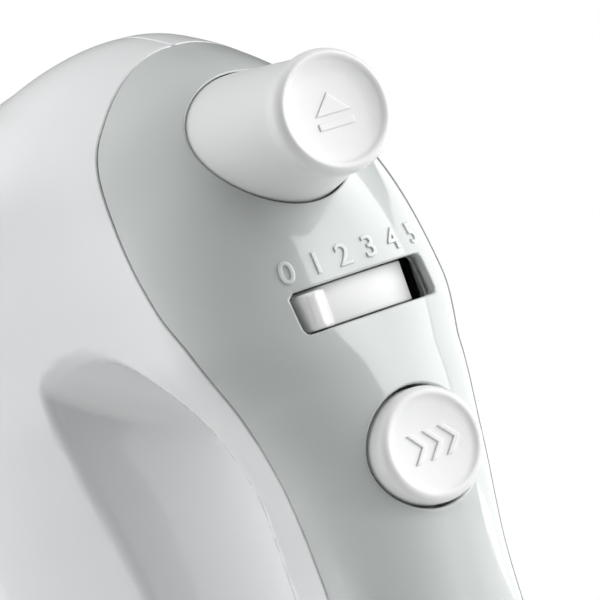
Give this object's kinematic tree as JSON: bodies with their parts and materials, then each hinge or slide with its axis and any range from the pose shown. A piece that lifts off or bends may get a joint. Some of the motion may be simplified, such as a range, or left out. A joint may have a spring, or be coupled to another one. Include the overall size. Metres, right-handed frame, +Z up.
{
  "type": "hand mixer",
  "caption": "Hand mixer with finger opening, grey control panel, conical eject button, speed slider, boost button, worm drive and two pull-out beaters.",
  "frame": {"origin": "middle of the heel pad's flat face, on the surface the mixer stands on", "axes": "+Z up through the nose, the mixer standing on its heel; +Y the way the beaters point; +X to the mixer's right"},
  "size_m": [0.0856, 0.2452, 0.1974],
  "materials": {
    "white_shell": "high gloss white moulding",
    "grey_panel": "high gloss cool light grey moulding",
    "white_control": "satin gloss white moulding",
    "rubber": "matt dark grey",
    "dark_plastic": "fine matt moulding",
    "steel": "turned and zinc plated",
    "beater_chrome": "polished chrome plate",
    "copper": "enamelled copper winding",
    "iron": "laminated and pressed steel",
    "bearing": "sintered bronze",
    "nylon": "natural nylon",
    "board": "green circuit board"
  },
  "bodies": {
    "housing": {"left_housing": "white_shell", "right_housing": "white_shell", "control_panel": "grey_panel", "socket_plate": "grey_panel", "heel_pad": "rubber", "cord_gland": "rubber", "housing_screw_1": "steel", "housing_screw_2": "steel", "housing_screw_3": "steel", "housing_screw_4": "steel", "housing_screw_5": "steel", "eject_spring": "steel", "boost_spring": "steel", "circuit_board": "board", "boost_switch": "dark_plastic", "speed_switch": "dark_plastic", "motor_stator": "iron", "field_coil_upper": "copper", "field_coil_lower": "copper", "motor_bracket": "iron", "rear_bearing": "bearing", "front_bearing": "bearing", "nose_bearing": "bearing", "brush_holder_left": "dark_plastic", "brush_holder_right": "dark_plastic", "carbon_brush_left": "dark_plastic", "carbon_brush_right": "dark_plastic", "gear_frame": "iron", "spindle_bush_left": "dark_plastic", "spindle_bush_right": "dark_plastic"},
    "armature": {"armature_shaft": "steel", "armature_core": "iron", "commutator": "copper", "cooling_fan": "nylon"},
    "spindle_left": {"worm_wheel_left": "nylon"},
    "spindle_right": {"worm_wheel_right": "nylon"},
    "beater_left": {"beater_shaft_left": "beater_chrome", "beater_collar_left": "nylon", "beater_loop_outer_left": "beater_chrome", "beater_loop_inner_left": "beater_chrome"},
    "beater_right": {"beater_shaft_right": "beater_chrome", "beater_collar_right": "nylon", "beater_loop_outer_right": "beater_chrome", "beater_loop_inner_right": "beater_chrome"},
    "eject": {"eject_button": "white_control", "eject_plate": "nylon"},
    "slider": {"speed_slider": "white_control"},
    "boost": {"boost_button": "white_control"}
  },
  "joints": [
    {"name": "armature_spin", "type": "hinge", "parent": "housing", "child": "armature", "pos_m": [0, 0.003, 0.097], "axis": [0, 0, 1], "continuous": true},
    {"name": "spindle_left_spin", "type": "hinge", "parent": "housing", "child": "spindle_left", "pos_m": [-0.0155, 0.003, 0.152], "axis": [0, 1, 0], "continuous": true},
    {"name": "spindle_right_spin", "type": "hinge", "parent": "housing", "child": "spindle_right", "pos_m": [0.0155, 0.003, 0.152], "axis": [0, 1, 0], "continuous": true},
    {"name": "beater_left_pull", "type": "slide", "parent": "spindle_left", "child": "beater_left", "axis": [0, 1, 0], "range_m": [0, 0.06]},
    {"name": "beater_right_pull", "type": "slide", "parent": "spindle_right", "child": "beater_right", "axis": [0, 1, 0], "range_m": [0, 0.06]},
    {"name": "eject_press", "type": "slide", "parent": "housing", "child": "eject", "axis": [0, 1, 0], "range_m": [0, 0.0065], "stiffness_N_per_m": 700, "springref_m": -0.003, "deforming": ["eject_spring"]},
    {"name": "speed_slide", "type": "hinge", "parent": "housing", "child": "slider", "pos_m": [0, -0.067, 0.1332], "axis": [0, 0, 1], "range_deg": [0, 50]},
    {"name": "boost_press", "type": "slide", "parent": "housing", "child": "boost", "axis": [0, 1, 0], "range_m": [0, 0.0022], "stiffness_N_per_m": 900, "springref_m": -0.001, "deforming": ["boost_spring"]}
  ],
  "couplings": [
    {"joint": "spindle_left_spin", "follows": "armature_spin", "ratio": 0.055556},
    {"joint": "spindle_right_spin", "follows": "armature_spin", "ratio": -0.055556}
  ]
}
